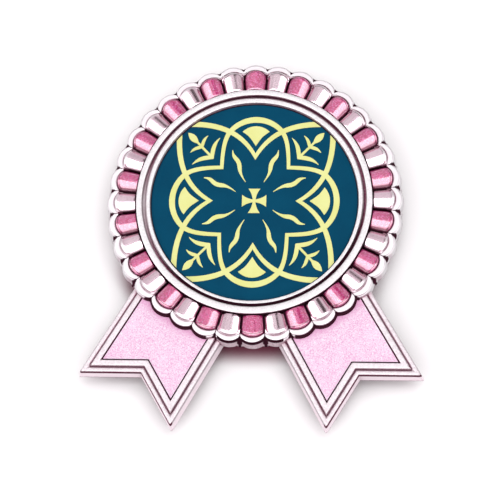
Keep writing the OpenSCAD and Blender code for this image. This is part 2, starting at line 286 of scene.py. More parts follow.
# Lip of the inner ring over the insert: distance from the lip's edge, drop from the ring's top, painted
# shade.
LIP = [(0.26, 0, 0), (0.06, 0, 0), (0.03, 0.008, 0), (0.01, 0.03, 0), (-0.005, 0.08, 0.1), (-0.02, 0.18, 0.2),
       (-0.045, 0.33, 0.3), (-0.07, 0.46, 0.8)]
FOOT_ROUND, RING_OUTER_ROUND, RING_INNER_ROUND = 0.12, 0.07, 0.15
WEB_W, WEB_LESS = 0.3, 0.7


def lobed(at, r, phi=PHI):
    """Radius of an outline of round lobes of radius r with their middles at radius at."""
    side = at * np.sin(deg(phi))
    return at * np.cos(deg(phi)) + np.sqrt(np.maximum(r * r - side * side, 0))


def bay(grow, phi=PHI):
    """Radius of the outline round the pleats' ends, moved outwards by grow."""
    return lobed(BAY_AT, PLEAT_ROUND_R + grow, phi)


def wall_r(z, grow=0.0):
    """Radius of the rosette's drafted side wall at height z, moved outwards by grow."""
    flare = WALL_FLARE * (FLANGE_H - z) / (FLANGE_H - FOOT_H)
    return lobed(LOBE_AT, LOBE_R + flare + grow)


def web(z):
    """How much the wall's lower part fills the notches between the lobes, less where enamel lies below."""
    at_foot = WEB_W * JUNCTION * (1 - WEB_LESS * OVER_ENAMEL)
    return at_foot * (FLANGE_H - z) / (FLANGE_H - FOOT_H)


def crest(r, phi):
    """Height of a pleat's rounded top, a cone lying on its side."""
    half_w = PLEAT_END_R * math.sin(deg(PLEAT_HALF_ANGLE))
    section_r = (half_w**2 + PLEAT_RISE**2) / (2 * PLEAT_RISE)
    share = r * np.cos(deg(phi)) / PLEAT_END_R
    y = np.minimum(np.abs(r * np.sin(deg(phi))), section_r * share)
    drop = section_r * share - np.sqrt(np.maximum((section_r * share) ** 2 - y * y, 0))
    return PLEAT_EDGE_H + PLEAT_RISE * share - drop


def pleat_h(r):
    """Height of the metal under and between the enamelled pleats, and of the silver pleats."""
    top = PLEAT_FLOOR_H + (crest(r, PHI) - PLEAT_FLOOR_H) * PLEAT_SIDE
    return np.where(SILVER, top, PLEAT_FLOOR_H)


def full_turn(steps):
    return np.linspace(0, 2 * math.pi, steps + 1)[:-1]


def ring_of(r, z, azimuth=AZIMUTH):
    """Loop of points round the rosette's middle."""
    r, z = r * np.ones(len(azimuth)), z * np.ones(len(azimuth))
    return CENTRE + np.stack([r * np.cos(azimuth), r * np.sin(azimuth), z], 1)


def row(r, z, dark=0.0):
    """One loop of the rosette: radius, height and painted shade in every column."""
    return r * ONES, z * ONES, np.clip(dark * ONES, -1, 1)


def foot_rows():
    """The round base on the back, and the rounded foot of the wall."""
    base = [(8, 0), (BASE_R - 0.1, 0), (BASE_R, 0.1), (BASE_R, 0.7), (BASE_R, FOOT_H)]
    rows = [row(r, z, 0.5) for r, z in base]
    for up, inset in round_edge(FOOT_ROUND, (0, 25, 50, 70, 90)):
        rows.append(row(wall_r(FOOT_H, web(FOOT_H) - inset), FOOT_H + up, np.maximum(NOTCH_SHADE_LOW, 0.5)))
    return rows


def wall_rows():
    """The side wall below the flange."""
    rows = [row(wall_r(z, web(z)), z, np.maximum(NOTCH_SHADE_LOW, 0.2)) for z in (1.5, 1.7)]
    for z, between in ((1.85, 0), (2.05, 0), (2.3, 0), (2.45, 0.6)):
        dark = darkest(NOTCH_SHADE, 0.2, OVER_ENAMEL, between * BETWEEN_TAILS)
        rows.append(row(wall_r(z, web(z)), z, dark))
    return rows


def flange_rows():
    """The flange's rounded outer edge, as drop from its top, inset and painted shade, and its top."""
    line = np.maximum(JUNCTION, BETWEEN_TAILS)
    trim = 0.07 * BETWEEN_TAILS
    edge = [(0.3, 0, darkest(NOTCH_SHADE, OVER_ENAMEL, BETWEEN_TAILS)),
            (0.25, 0.035, np.maximum(line, OVER_ENAMEL)),
            (0.22, 0.084, np.maximum(line, 0.9 * OVER_ENAMEL)),
            (0.14, 0.119, np.maximum(line, 0.5 * OVER_ENAMEL)),
            (0.08, 0.126, line), (0.05, 0.133, line * 0.8), (0.03, 0.14, JUNCTION * 0.75),
            (0.015, 0.154, JUNCTION * 0.66), (0.003, 0.182, JUNCTION * 0.6)]
    rows = [row(wall_r(FLANGE_H - drop, -inset - trim), FLANGE_H - drop, dark) for drop, inset, dark in edge]
    outer, inner = wall_r(FLANGE_H, -0.21 - trim), bay(END_GAP + 0.05)
    for share in (0, 0.12, 0.3, 0.55, 0.8, 1):
        dark = np.maximum(SEAM_SHADE * (1 - 0.5 * share), JUNCTION * max(0.3 - share, 0))
        rows.append(row(outer + (inner - outer) * share, FLANGE_H - 0.05 * SEAM_SHADE, dark))
    return rows


def dip_rows():
    """The flange's inner edge, as place, drop and painted shade, and the dip before the pleats' ends."""
    edge = [(0.045, 0.001, 0.8 * AT_TOP), (0.01, 0.01, 0.8 * AT_TOP),
            (-0.02, 0.04, END_DARK), (-0.06, 0.08, END_DARK)]
    rows = [row(bay(END_GAP + out), FLANGE_H - drop, marked(dark, SEAM_SHADE * 0.9)) for out, drop, dark in edge]
    rows.append(row(bay(0.06), DIP_H, np.where(SEAM_SHADE > 0, np.maximum(0.45, SEAM_SHADE), END_DARK)))
    for depth in (0.06, 1):
        dark = np.where(SILVER, END_DARK + 0.2, END_DARK + 0.3 + 0.4 * depth)
        rows.append(row(bay(0.03), DIP_H + (PLEAT_FLOOR_H - DIP_H) * depth * ~SILVER, np.maximum(dark, SEAM_SHADE)))
    dark = np.where(SILVER, END_DARK + 0.2, END_DARK + 0.4)
    rows.append(row(bay(0.01), END_LOW, np.maximum(dark, SEAM_SHADE)))
    return rows


def pleat_rows():
    """The silver pleats from their outer ends to the ring, and the seats of the enamelled ones."""
    rows = []
    for out, down, dark in PLEAT_END:
        r = bay(-out)
        dark = dark * AT_TOP if out > END_LINE_FROM else dark
        z = np.maximum(pleat_h(r) - down, END_LOW + 0.005 * SILVER)
        rows.append(row(r, z, marked(dark, SIDE_DARK, 0.05)))
    end, start = r, RING_R + PLEAT_START[-1][0]
    for share in (0.1, 0.3, 0.5, 0.7, 0.9):
        r = end + (start - end) * share
        rows.append(row(r, pleat_h(r), SIDE_DARK))
    for out, down, dark in PLEAT_START[::-1]:
        z = np.maximum(pleat_h(RING_R + out) - down, PLEAT_FLOOR_H + 0.01 * SILVER)
        rows.append(row(RING_R + out, z, np.maximum(dark, SIDE_DARK)))
    return rows


def ring_rows():
    """The outer ring, with its rounded edges."""
    side = [(PLEAT_FLOOR_H + 0.02, 1), (2.95, 1), (3.08, 0.7), (RING_H - RING_OUTER_ROUND - 0.04, 0)]
    rows = [row(RING_R, z, dark) for z, dark in side]
    for inset, drop in round_edge(RING_OUTER_ROUND, (0, 30, 60, 90)):
        rows.append(row(RING_R - inset, RING_H - drop))
    rows.append(row(RING_R - 0.3, RING_H))
    for inset, drop in round_edge(RING_INNER_ROUND, (90, 68, 45, 22, 0)):
        rows.append(row(RING_IN + inset, RING_H - drop))
    return rows


def groove_rows():
    """The groove between the two rings."""
    corner_w, corner_h = 0.03, 0.06
    shoulder_h = INNER_RING_H - SHOULDER_DROP
    section = [(RING_IN, 3.04), (RING_IN, 2.9),
               (RING_IN, GROOVE_H + corner_h), (RING_IN - corner_w, GROOVE_H),
               (GROOVE_R + corner_w, GROOVE_H), (GROOVE_R, GROOVE_H + corner_h),
               (GROOVE_R, shoulder_h - 0.07), (GROOVE_R - 0.01, shoulder_h - 0.03)]
    rows = [row(RING_IN, 3.12, 0.4 * GROOVE_DARK)]
    rows += [row(r, z, GROOVE_DARK) for r, z in section]
    rows.append(row(GROOVE_R - 0.03, shoulder_h + 0.01, np.maximum(GROOVE_DARK, SHOULDER_DARK)))
    return rows


def inner_ring_rows():
    """The inner ring's rounded shoulder, its top and its lip."""
    rows = []
    for share in (0.25, 0.6, 0.85, 0.97, 1.05, 1.15):
        z = INNER_RING_H - SHOULDER_DROP * max(1 - share, 0) ** 1.2
        rows.append(row(GROOVE_R - SHOULDER_W * share, z, SHOULDER_DARK * (share < 1)))
    for out, down, dark in LIP:
        rows.append(row(INSERT_R + LIP_W + out, INNER_RING_H - down, dark))
    return rows


def cup_rows():
    """The cup that holds the insert."""
    cup_r, cup_h = INSERT_R + GAP, INSERT_BOTTOM - GAP
    return [row(cup_r, INSERT_H, 1), row(cup_r, cup_h + 0.05, 1), row(INSERT_R, cup_h), row(6, cup_h)]


def build_rosette():
    """Points, faces and painted shade of the rosette, from the middle of its back round to the cup's middle.
    """
    rows = foot_rows() + wall_rows() + flange_rows() + dip_rows() + pleat_rows()
    rows += ring_rows() + groove_rows() + inner_ring_rows() + cup_rows()
    points, faces = shell([ring_of(r, z) for r, z, _ in rows], cap_with_pole=True)
    painted_shade = np.concatenate([dark for _, _, dark in rows] + [[0, 0]])
    return points, faces, painted_shade


def rosette_cutter(grow):
    """The rosette's side wall run on past both faces, to trim what stands against it."""
    past = 1
    loops = [ring_of(wall_r(z, grow), z) for z in (FOOT_H - past, FLANGE_H + past)]
    return shell(loops, cap_with_pole=True)


# Tail in its own plan: x across it and y away from the rosette's middle.
TAIL_OUTLINE = np.array([
    [TAIL_SHIFT - TAIL_ROOT_HALF_W, TAIL_ROOT],
    [TAIL_SHIFT - TAIL_HALF_W, TAIL_LEN],
    [TAIL_SHIFT, TAIL_LEN - NOTCH_DEPTH],
    [TAIL_SHIFT + TAIL_HALF_W, TAIL_LEN],
    [TAIL_SHIFT + TAIL_ROOT_HALF_W, TAIL_ROOT]])
# Where the tail starts below the flange, how this moves with the inset, and how its root is cut lower there.
TAIL_START, START_PER_INSET, ROOT_CUT_R, ROOT_CUT = 13.2, 0.3, 17.35, 0.1
SIDE_STEPS, NOTCH_STEPS, ROOT_STEPS, CORNER_STEPS = 60, 24, 16, 4
LOOP_STEPS = [SIDE_STEPS, NOTCH_STEPS, NOTCH_STEPS, SIDE_STEPS, ROOT_STEPS]
# A tail's corners: the tips get sharper and the notch rounder with the inset.
ROOT_ROUND, TIP_ROUND, TIP_ROUND_FALL, TIP_ROUND_LEAST, NOTCH_ROUND = 0.05, 0.16, 0.3, 0.02, 0.08


def cross2(u, v):
    return u[0] * v[1] - u[1] * v[0]


def tail_corners(w, root):
    """Corners of a tail's outline in its own plan, moved inwards by w along its sides and its notch."""
    lines = []
    for i in range(4):
        u = TAIL_OUTLINE[i + 1] - TAIL_OUTLINE[i]
        u = u / np.hypot(*u)
        lines.append((TAIL_OUTLINE[i] + np.array([u[1], -u[0]]) * w, u))
    base = (np.array([0.0, root]), np.array([1.0, 0.0]))
    lines = [base, *lines, base]
    return [p + u * cross2(q - p, v) / cross2(u, v) for (p, u), (q, v) in zip(lines, lines[1:])]


def tail_plan(w, root, tip_round, notch_round):
    """The outline as one loop of points with rounded corners; every loop has equally many points."""
    corners = tail_corners(w, root)
    n = len(corners)
    rounding = [ROOT_ROUND, tip_round, notch_round, tip_round, ROOT_ROUND]
    arcs = []
    for i, p in enumerate(corners):
        into = p - corners[i - 1]
        out = corners[(i + 1) % n] - p
        into, out = into / np.hypot(*into), out / np.hypot(*out)
        reach = rounding[i] * math.tan(abs(math.atan2(cross2(into, out), into @ out)) / 2)
        t = np.linspace(0, 1, CORNER_STEPS + 1)[:, None]
        a, b = p - into * reach, p + out * reach
        arcs.append(a * (1 - t) ** 2 + p * 2 * t * (1 - t) + b * t * t)
    loop = []
    for i in range(n):
        a, b = arcs[i][-1], arcs[(i + 1) % n][0]
        t = np.linspace(0, 1, LOOP_STEPS[i] + 1)[1:-1, None]
        loop += [arcs[i], a + (b - a) * t]
    return np.vstack(loop)


def tail_place(plan, z, side):
    """A plan at height z, in the part's frame; side is -1 for the left tail and 1 for the right one."""
    cos_a, sin_a = math.cos(deg(TAIL_ANGLE)), math.sin(deg(TAIL_ANGLE))
    x = side * (plan[:, 0] * cos_a + plan[:, 1] * sin_a)
    y = plan[:, 0] * sin_a - plan[:, 1] * cos_a
    return CENTRE + np.stack([x, y, np.full(len(plan), z)], 1)


# A tail's flared side, from the back up: inset, height, painted shade.
TAIL_SIDE = [(0.6, 0, 0.7), (-0.13, 0, 0.8), (-0.19, 0.02, 0.9), (-0.235, 0.07, 0.9), (-0.225, 0.2, 0.3),
             (-0.14, 0.8, 0), (-0.1, 1.2, 0.1), (-0.075, 1.36, 0.3), (-0.05, 1.42, 0.7), (-0.02, 1.5, 1)]
# Its rim and the painted shadow line behind it: inset, drop from the rim's top, painted shade.
TAIL_RIM = [(0, 0.2, 1), (0.01, 0.13, 0.9), (0.02, 0.095, 0.6), (0.04, 0.06, 0.45), (0.08, 0.025, 0.4),
            (0.13, 0.007, 0), (0.18, 0, 0), (0.24, 0, 0), (0.4, 0, 0), (0.46, 0.01, 0), (0.52, 0.04, 0.1),
            (0.56, 0.09, 0.2), (0.61, 0.13, 0.35), (0.65, 0.13, 0.75)]
# The band's outer edge, from the rim: distance, drop from the band's top, painted shade.
BAND_OUTER = [(0.07, 0.3, 0.6), (0.095, 0.2, 0.3), (0.12, 0.12, 0.1), (0.145, 0.06, 0), (0.18, 0.02, 0),
              (0.24, 0, 0), (0.3, 0, 0)]
# The band's inner edge, down to the enamel's seat: distance from the border's edge, drop, painted shade.
BAND_INNER = [(0.22, 0, 0), (0.16, 0.002, 0.1), (0.12, 0.015, 0.3), (0.095, 0.05, 0.4), (0.07, 0.13, 0.6),
              (0.04, 0.25, 0.8), (0.02, 0.5, 1), (0, 0.78, 1), (-0.1, 0.78, 0)]
TAIL_PROFILE = [*TAIL_SIDE,
                *[(w, TAIL_RIM_H - drop, dark) for w, drop, dark in TAIL_RIM],
                *[(RIM_W + w, TAIL_BAND_H - drop, dark) for w, drop, dark in BAND_OUTER],
                *[(BORDER_W - w, TAIL_BAND_H - drop, dark) for w, drop, dark in BAND_INNER]]

# The painted shadow line along the rim's outer edge is strong at the notch's edges and faint along the sides.
SIDE_LINE, RIM_LINE_TO = 0.45, 0.12
CORNERS_ON_NOTCH, LINES_ON_NOTCH = (1, 2, 3), (1, 2)
ON_NOTCH = np.concatenate([
    [i in CORNERS_ON_NOTCH] * (CORNER_STEPS + 1) + [i in LINES_ON_NOTCH] * (steps - 1)
    for i, steps in enumerate(LOOP_STEPS)])


def build_tail(side):
    """Points, faces and painted shade of one tail's metal."""
    loops, painted_shade = [], []
    for w, z, dark in TAIL_PROFILE:
        tip_round = max(TIP_ROUND_LEAST, TIP_ROUND - w * TIP_ROUND_FALL)
        notch_round = NOTCH_ROUND * (1 + max(w, 0))
        plan = tail_plan(w, TAIL_START + START_PER_INSET * w, tip_round, notch_round)
        loops.append(tail_place(plan, z, side))
        painted_shade.append(dark * np.where(ON_NOTCH, 1, SIDE_LINE if w < RIM_LINE_TO else 1))
    points, faces = shell(loops)
    return points, faces, np.concatenate(painted_shade)


def cylinder(radius, low, high):
    """A round tool in the middle of the rosette."""
    turn = full_turn(360)
    return shell([ring_of(radius, low, turn), ring_of(radius, high, turn)], cap_with_pole=True)


def dark_of_cut(p):
    """Painted shade of a point where a tail meets the rosette: a painted shadow line over the tail's enamel.
    """
    x, y = (p - CENTRE)[:2]
    from_down = angle_from(DOWN, math.degrees(math.atan2(y, x)))
    return np.interp(from_down, [ENAMEL_FROM - 1, ENAMEL_FROM, ENAMEL_TO, ENAMEL_TO + 1], [0.3, 1, 1, 0.3])


def build_casting():
    points, faces, painted_shade = build_rosette()
    made = mesh_object("casting_metal", points, faces, painted_shade)
    sources = [(points, painted_shade)]
    for side in (-1, 1):
        tail_points, tail_faces, tail_painted_shade = build_tail(side)
        tail = mesh_object("tail_tool", tail_points, tail_faces, tail_painted_shade)
        root_tool = mesh_object("root_tool", *cylinder(ROOT_CUT_R, TAIL_RIM_H - ROOT_CUT, FLANGE_H))
        combine(tail, root_tool, "DIFFERENCE")
        combine(made, tail, "UNION")
        sources.append((tail_points, tail_painted_shade))
    carry_painted_shade(made, sources, dark_of_cut)
    smooth(made, crease_deg=42)
    return made


# Edge of a tail's enamel: inset, height over its bottom as a share of its depth, painted shade.
FIELD_PROFILE = [
    (0.4, 0.0, 1), (0.05, 0.0, 1), (0.02, 0.1, 1), (0.015, 0.8, 1), (0.02, 0.92, 0.9), (0.04, 0.985, 0.45),
    (0.07, 1.0, 0.1), (0.12, 0.99, 0), (0.2, 0.975, 0), (0.3, 0.968, 0), (0.45, 0.965, 0)]
FIELD_TIP_ROUND, FIELD_NOTCH_ROUND = 0.03, 0.15


def build_tail_enamel(name, side):
    """A tail's enamel field, trimmed by the rosette's wall."""
    edge, depth = BORDER_W + GAP, TAIL_ENAMEL_H - TAIL_ENAMEL_BOTTOM
    loops = []
    for w, share, _ in FIELD_PROFILE:
        plan = tail_plan(edge + w, TAIL_START + START_PER_INSET * w, FIELD_TIP_ROUND, FIELD_NOTCH_ROUND)
        loops.append(tail_place(plan, TAIL_ENAMEL_BOTTOM + depth * share, side))
    points, faces = shell(loops)
    painted_shade = np.repeat([dark for _, _, dark in FIELD_PROFILE], len(loops[0]))
    made = mesh_object(name, points, faces, painted_shade)
    combine(made, mesh_object("trim_tool", *rosette_cutter(GAP)), "DIFFERENCE")
    carry_painted_shade(made, [(points, painted_shade)], lambda p: 0.0)
    smooth(made, crease_deg=40)
    return made


def standing_on(grid, foot_z):
    """Closed shell of a grid of points with straight sides down to foot_z; the foot's points come last."""
    top = grid.reshape(-1, 3)
    index = np.arange(len(top)).reshape(grid.shape[:2])
    rim = np.concatenate([index[0], index[1:, -1], index[-1, -2::-1], index[-2:0:-1, 0]]).tolist()
    foot = top[rim].copy()
    foot[:, 2] = foot_z
    base, count = len(top), len(rim)
    squares = np.stack([index[:-1, :-1], index[:-1, 1:], index[1:, 1:], index[1:, :-1]], -1)
    faces = squares.reshape(-1, 4).tolist()
    faces += [(rim[k], base + k, base + (k + 1) % count, rim[(k + 1) % count]) for k in range(count)]
    faces.append(tuple(base + k for k in range(count)))
    points = np.vstack([top, foot])
    return points, turned_out(points, faces)


# An enamelled pleat's last columns, in degrees from its middle, and how much the pleats differ.
GLAZE_SIDE, GLAZE_EDGE = 4.6, 4.68
LIFT, LEAN = 0.012, 0.02


def build_pleat_enamel(name, number, rng):
    """Enamelled pleat, counted anticlockwise from the top: a barrel with a rounded outer end."""
    half = [c for c in HALF_COLUMNS if c <= GLAZE_SIDE] + [GLAZE_EDGE]
    phi = np.array([-c for c in half[:0:-1]] + half)
    aside = np.abs(phi)
    azimuth = deg(PLEAT_TURN + 90 + (number - 1) * 2 * PITCH + phi)
    lift, lean = rng.uniform(-LIFT, LIFT), rng.uniform(-LEAN, LEAN)
    start = RING_R + PLEAT_START[-1][0]
    end = bay(-PLEAT_END[-1][0], phi)
    rows = [(RING_R + out, down, dark) for out, down, dark in PLEAT_START if out > 3 * GAP]
    rows += [(start + (end - start) * share, 0, 0) for share in (0.08, 0.2, 0.35, 0.5, 0.65, 0.8, 0.92)]
    rows += [(bay(-out, phi), down, dark) for out, down, dark in PLEAT_END[::-1]]
    edge_drop = np.interp(aside, [4.4, GLAZE_SIDE, GLAZE_EDGE], [0, 0.015, 0.07])
    faces_down = np.clip(-np.sign(phi) * np.cos(azimuth), 0, 1)
    # Painted shade along the pleat's sides, darker on a side that faces down.
    edge_dark = np.maximum(np.interp(aside, [2.9, 4.1, GLAZE_SIDE, GLAZE_EDGE], [0, 0.2, 0.45, 1]),
                           np.interp(aside, [2.9, 3.75, GLAZE_SIDE], [0, 0.55, 0.9]) * faces_down)
    grid, painted_shade = [], []
    for r, down, dark in rows:
        h = crest(r, phi) + lift + lean * phi / PLEAT_HALF_ANGLE - edge_drop - down
        grid.append(ring_of(r, np.maximum(h, PLEAT_FLOOR_H + 0.1), azimuth))
        painted_shade.append(np.maximum(edge_dark, dark))
    points, faces = standing_on(np.array(grid), BACK_Z + PLEAT_FLOOR_H + GAP)
    top_painted_shade = np.ravel(painted_shade)
    foot_painted_shade = np.ones(len(points) - len(top_painted_shade))
    made = mesh_object(name, points, faces, np.concatenate([top_painted_shade, foot_painted_shade]))
    smooth(made, crease_deg=60)
    return made


def build_insert():
    """The round plate, with small rounded edges."""
    low, high = INSERT_BOTTOM, INSERT_H
    profile = [(4, low), (INSERT_R - 0.1, low), (INSERT_R - 0.02, low + 0.03), (INSERT_R, low + 0.1),
               (INSERT_R, high - 0.09), (INSERT_R - 0.015, high - 0.03), (INSERT_R - 0.05, high - 0.005),
               (INSERT_R - 0.1, high), (INSERT_R - 0.3, high), (6, high)]
    points, faces = shell([ring_of(r, z, full_turn(288)) for r, z in profile], cap_with_pole=True)
    made = mesh_object("insert_plate", points, faces)
    smooth(made, crease_deg=50)
    return made


def rounded_slab(half_x, half_y, middle, corner, low, high, edge):
    """A plate with round corners in plan and rounded edges, as a closed shell."""
    rounding = round_edge(edge, np.linspace(0, 90, 5))
    flat_inset = edge + 0.1
    profile = [(flat_inset, low), *[(inset, low + up) for up, inset in rounding],
               *[(inset, high - down) for inset, down in rounding], (flat_inset, high)]
    loops = []
    for inset, z in profile:
        loop = []
        for k, (sx, sy) in enumerate([(1, 1), (-1, 1), (-1, -1), (1, -1)]):
            c = np.array([sx * (half_x - corner), sy * (half_y - corner)])
            for t in np.linspace(0, math.pi / 2, 9):
                a = k * math.pi / 2 + t
                loop.append(c + (corner - inset) * np.array([math.cos(a), math.sin(a)]))
        loops.append(np.column_stack([np.array(loop) + middle, np.full(len(loop), z)]))
    return shell(loops)


def build_pin_bar():
    """The bar with a block at each end and the pin between them."""
    middle = (PIN_LOW + PIN_HIGH)[:2] / 2
    half_x, half_y = (PIN_HIGH - PIN_LOW)[:2] / 2
    top = PIN_HIGH[2]
    end_x = half_x - half_y
    bar = rounded_slab(half_x, half_y, middle, corner=half_y - 0.001, low=top - PIN_PLATE_T, high=top,
                       edge=0.12)
    made = mesh_object("pin_bar", *bar)
    for x in (-end_x, end_x):
        block = rounded_slab(PIN_BLOCK_L / 2, half_y, middle + [x, 0], corner=0.5, low=0,
                             high=top - PIN_PLATE_T / 2, edge=0.35)
        combine(made, mesh_object("block_tool", *block), "UNION")
    axis_h = (top - PIN_PLATE_T - PIN_D / 2) / 2
    turn = full_turn(24)
    y, z = middle[1] + PIN_D / 2 * np.cos(turn), axis_h + PIN_D / 2 * np.sin(turn)
    places = middle[0] + np.linspace(-end_x, end_x, 12)
    loops = [np.column_stack([np.full(len(turn), x), y, z]) for x in places]
    combine(made, mesh_object("pin_tool", *shell(loops)), "UNION")
    smooth(made, crease_deg=40)
    return made


class Nodes:
    """Short calls to lay out the nodes of a material or of the world."""

    def __init__(self, owner):
        owner.use_nodes = True
        self.tree = owner.node_tree

    def add(self, kind, inputs=None, **settings):
        node = self.tree.nodes.new(kind)
        for key, value in settings.items():
            setattr(node, key, value)
        for key, value in (inputs or {}).items():
            self.put(node.inputs[key], value)
        return node

    def put(self, socket, value):
        if isinstance(value, bpy.types.NodeSocket):
            self.tree.links.new(value, socket)
        else:
            socket.default_value = value

    def math(self, operation, a, b):
        return self.add("ShaderNodeMath", {0: a, 1: b}, operation=operation).outputs[0]

    def times(self, a, b):
        return self.math("MULTIPLY", a, b)

    def vector(self, operation, a, b=(0, 0, 0)):
        return self.add("ShaderNodeVectorMath", {0: a, 1: b}, operation=operation).outputs[0]

    def distance(self, a, b):
        return self.add("ShaderNodeVectorMath", {0: a, 1: b}, operation="DISTANCE").outputs["Value"]

    def split(self, vector):
        """The three parts of a vector or a colour."""
        return self.add("ShaderNodeSeparateXYZ", {0: vector}).outputs

    def span(self, value, low, high, to_low=0.0, to_high=1.0, kind="SMOOTHSTEP"):
        """Takes low to to_low and high to to_high, and stays there outside them."""
        return self.add("ShaderNodeMapRange", {0: value, 1: low, 2: high, 3: to_low, 4: to_high},
                        interpolation_type=kind).outputs[0]

    def span_mm(self, value, low, high, to_low=0.0, to_high=1.0):
        """The same for a length, with low and high in millimetres."""
        return self.span(value, low * M_PER_MM, high * M_PER_MM, to_low, to_high)

    def window(self, value, rise, fall):
        """1 between two soft edges, each given as a pair of values, and 0 outside them."""
        return self.times(self.span(value, *rise), self.span(value, *fall, 1, 0))

    def blend(self, share, a, b):
        """Colour a where share is 0 and b where it is 1."""
        node = self.add("ShaderNodeMix", data_type="RGBA")
        self.put(node.inputs[0], share)
        self.put(node.inputs[6], a)
        self.put(node.inputs[7], b)
        return node.outputs[2]


MIDDLE_M = tuple(float(c) * M_PER_MM for c in CENTRE)


class MaterialNodes(Nodes):
    """The nodes of a material, whose patterns are laid out in the part's frame."""

    def __init__(self, name):
        self.material = bpy.data.materials.new(name)
        super().__init__(self.material)
        self.shader = self.tree.nodes["Principled BSDF"]
        self.place = self.add("ShaderNodeTexCoord").outputs["Object"]

    def around(self):
        """Place round the rosette's middle: length along an arc at the pleats' radius, radius, height."""
        from_middle = self.vector("SUBTRACT", self.place, MIDDLE_M)
        x, y, z = self.split(from_middle)
        arc = self.times(self.math("ARCTAN2", y, x), BAY_AT * M_PER_MM)
        radius = self.distance(self.vector("MULTIPLY", from_middle, (1, 1, 0)), (0, 0, 0))
        return self.add("ShaderNodeCombineXYZ", {0: arc, 1: radius, 2: z}).outputs[0]

    def noise(self, per_mm, detail, roughness=0.5, stretch=(1, 1, 1), shift=(0, 0, 0), polar=None):
        """Noise, per_mm waves a millimetre; polar gives its waves round the rosette and along its radius."""
        place = self.place if polar is None else self.around()
        stretch = stretch if polar is None else (*polar, 1)
        scaled = self.add("ShaderNodeMapping", {"Vector": place, "Scale": stretch, "Location": shift})
        inputs = {"Vector": scaled.outputs[0], "Scale": per_mm / M_PER_MM, "Detail": detail,
                  "Roughness": roughness}
        return self.add("ShaderNodeTexNoise", inputs).outputs["Fac"]

    def cells(self, per_mm):
        """A random colour for each small cell, per_mm cells a millimetre."""
        inputs = {"Vector": self.place, "Scale": per_mm / M_PER_MM}
        return self.add("ShaderNodeTexVoronoi", inputs).outputs["Color"]

    # How dark each point is painted, as painted shade.
    def painted_shade(self):
        return self.add("ShaderNodeAttribute", attribute_name="painted_shade").outputs["Fac"]

    def normal(self):
        return self.add("ShaderNodeNewGeometry").outputs["Normal"]

    def open_above(self, distance_mm):
        """1 on an open face, less in a corner or under something."""
        inputs = {"Distance": distance_mm * M_PER_MM}
        return self.add("ShaderNodeAmbientOcclusion", inputs, samples=12).outputs["AO"]

    def bump(self, height, distance_mm, strength, normal=None):
        inputs = {"Height": height, "Distance": distance_mm * M_PER_MM, "Strength": strength}
        if normal is not None:
            inputs["Normal"] = normal
        return self.add("ShaderNodeBump", inputs).outputs[0]

    def set(self, **values):
        for key, value in values.items():
            self.put(self.shader.inputs[key.replace("_", " ")], value)
        return self.material


# Light that falls on a face that looks up, in red, green and blue; a white face is white on screen at 1.
DAYLIGHT = (2.75, 2.45, 2.55)


def rgb(r, g, b):
    """A colour of a mirror-like metal, given as it looks on screen, 0 to 255."""
    return (*[((c / 255 + 0.055) / 1.055) ** 2.4 if c > 10 else c / 255 / 12.92 for c in (r, g, b)], 1)


def matt(r, g, b):
    """Colour of a matt face that looks r, g, b on screen under the daylight."""
    return (*[c / light for c, light in zip(rgb(r, g, b), DAYLIGHT)], 1)


# Painted shade colours for dark lines and hollows, on the rosette and on the tails.
PAINTED_SHADE_DARK, PAINTED_SHADE_DARK_TAIL = (0.045, 0.012, 0.022, 1), (0.1, 0.016, 0.042, 1)
SATIN_RING, SATIN_RING_LIGHT = (0.52, 0.54, 0.53, 1), (0.6, 0.63, 0.62, 1)
SATIN_FLANGE = (0.62, 0.63, 0.63, 1)
# Painted reflections of the shaded floor: one for the wall's foot, one for the rosette's wall that faces the
# viewer.
LOW_WALL_FLOOR_REFLECTION = (0.76, 0.7, 0.73, 1)
FRONT_FLOOR_REFLECTION, FRONT_FLOOR_REFLECTION_PALE = (0.45, 0.37, 0.4, 1), (0.58, 0.5, 0.53, 1)
SATIN_TAIL, SATIN_TAIL_LIGHT = (0.49, 0.48, 0.485, 1), (0.58, 0.57, 0.575, 1)
POLISHED, POLISHED_DIM, POLISHED_SPECK = rgb(243, 236, 239), rgb(235, 225, 230), rgb(208, 188, 197)
# Painted shade for corners, by how open a face is above.
CORNER_SHADE = rgb(128, 62, 90)
# Radii over which the flange's look and the tails' look begin, and heights over which the painted floor
# reflection on the wall's foot ends.
FLANGE_LOOK, TAIL_LOOK, LOW_WALL_REFLECTION_TO = (16.4, 16.8), (FLANGE_R + 0.1, FLANGE_R + 0.4), (FOOT_H, FOOT_H + 0.3)


def satin_colour(n, radius, height):
    """Colour of the satin metal of rings, flange and tails, with painted reflections of the shaded floor on
    the wall's foot and on the wall that faces the viewer.
    """
    grain = n.span(n.noise(5, 3, shift=(5, 2, 1)), 0.35, 0.65)
    satin = n.blend(grain, SATIN_RING, SATIN_RING_LIGHT)
    satin = n.blend(n.span_mm(radius, *FLANGE_LOOK), satin, SATIN_FLANGE)
    satin = n.blend(n.span_mm(radius, *TAIL_LOOK), satin, n.blend(grain, SATIN_TAIL, SATIN_TAIL_LIGHT))
    satin = n.blend(n.span_mm(height, *LOW_WALL_REFLECTION_TO, 1, 0), satin, LOW_WALL_FLOOR_REFLECTION)
    _, normal_y, normal_z = n.split(n.normal())
    front_reflection = n.times(n.span(normal_z, 0.3, 0.7, 1, 0), n.span(normal_y, -0.85, -0.5, 1, 0))
    front_reflection = n.times(front_reflection, n.span_mm(radius, *TAIL_LOOK, 1, 0))
    return n.blend(front_reflection, satin, n.blend(grain, FRONT_FLOOR_REFLECTION, FRONT_FLOOR_REFLECTION_PALE))


def corner_shade(n, painted_shade, speck):
    """How dark the painted shade of a corner is; a painted shade below 0 keeps it off."""
    shade = n.span(n.open_above(0.9), 0.3, 0.93, 1, 0, "LINEAR")
    shade = n.times(shade, n.span(speck, 0.3, 0.7, 0.85, 1.05))
    return n.times(shade, n.span(painted_shade, -1, 0, 0, 1, "LINEAR"))


